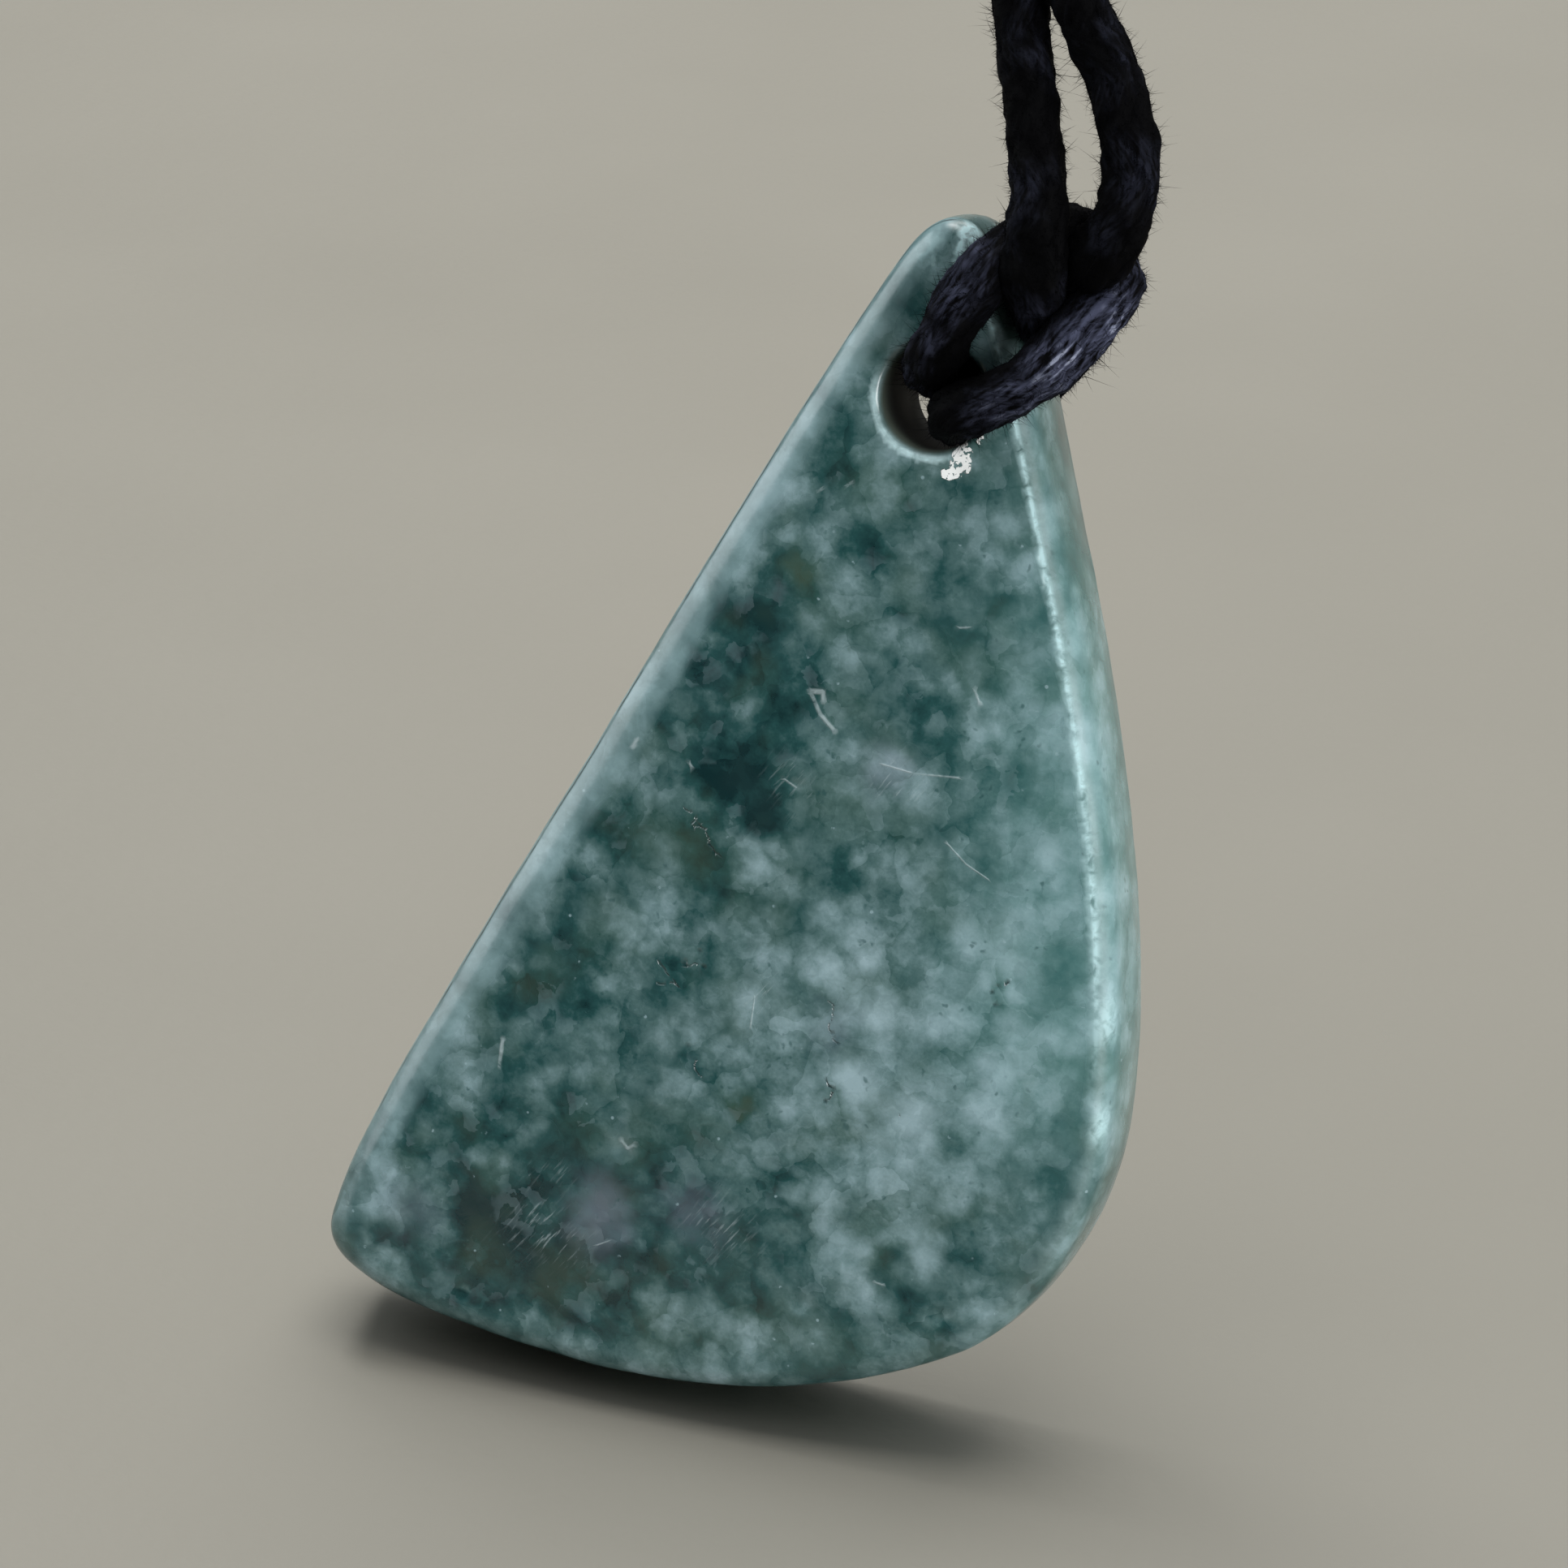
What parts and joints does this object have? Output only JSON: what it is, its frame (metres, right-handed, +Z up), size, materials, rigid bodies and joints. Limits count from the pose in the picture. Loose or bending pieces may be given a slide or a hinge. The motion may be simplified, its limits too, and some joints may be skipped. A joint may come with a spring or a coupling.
{
  "type": "jade pendant necklace on a knotted cord",
  "caption": "Tall rounded-triangle stone pendant, drilled near its tip and hung by a lark's head hitch from a thin braided cord loop tied at the nape.",
  "frame": {"origin": "nape of the neck: the middle of the underside of the knot that closes the cord loop, where the worn necklace is held", "axes": "+Z up, the wearer faces -Y, +X to the wearer's left"},
  "size_m": [0.1218, 0.153, 0.1694],
  "materials": {
    "jade": "polished",
    "waxed_cord": "satin"
  },
  "bodies": {
    "root": {"pendant": "jade", "hitch": "waxed_cord", "neck_cord_left": "waxed_cord", "neck_cord_right": "waxed_cord", "nape_knot": "waxed_cord"}
  },
  "joints": []
}
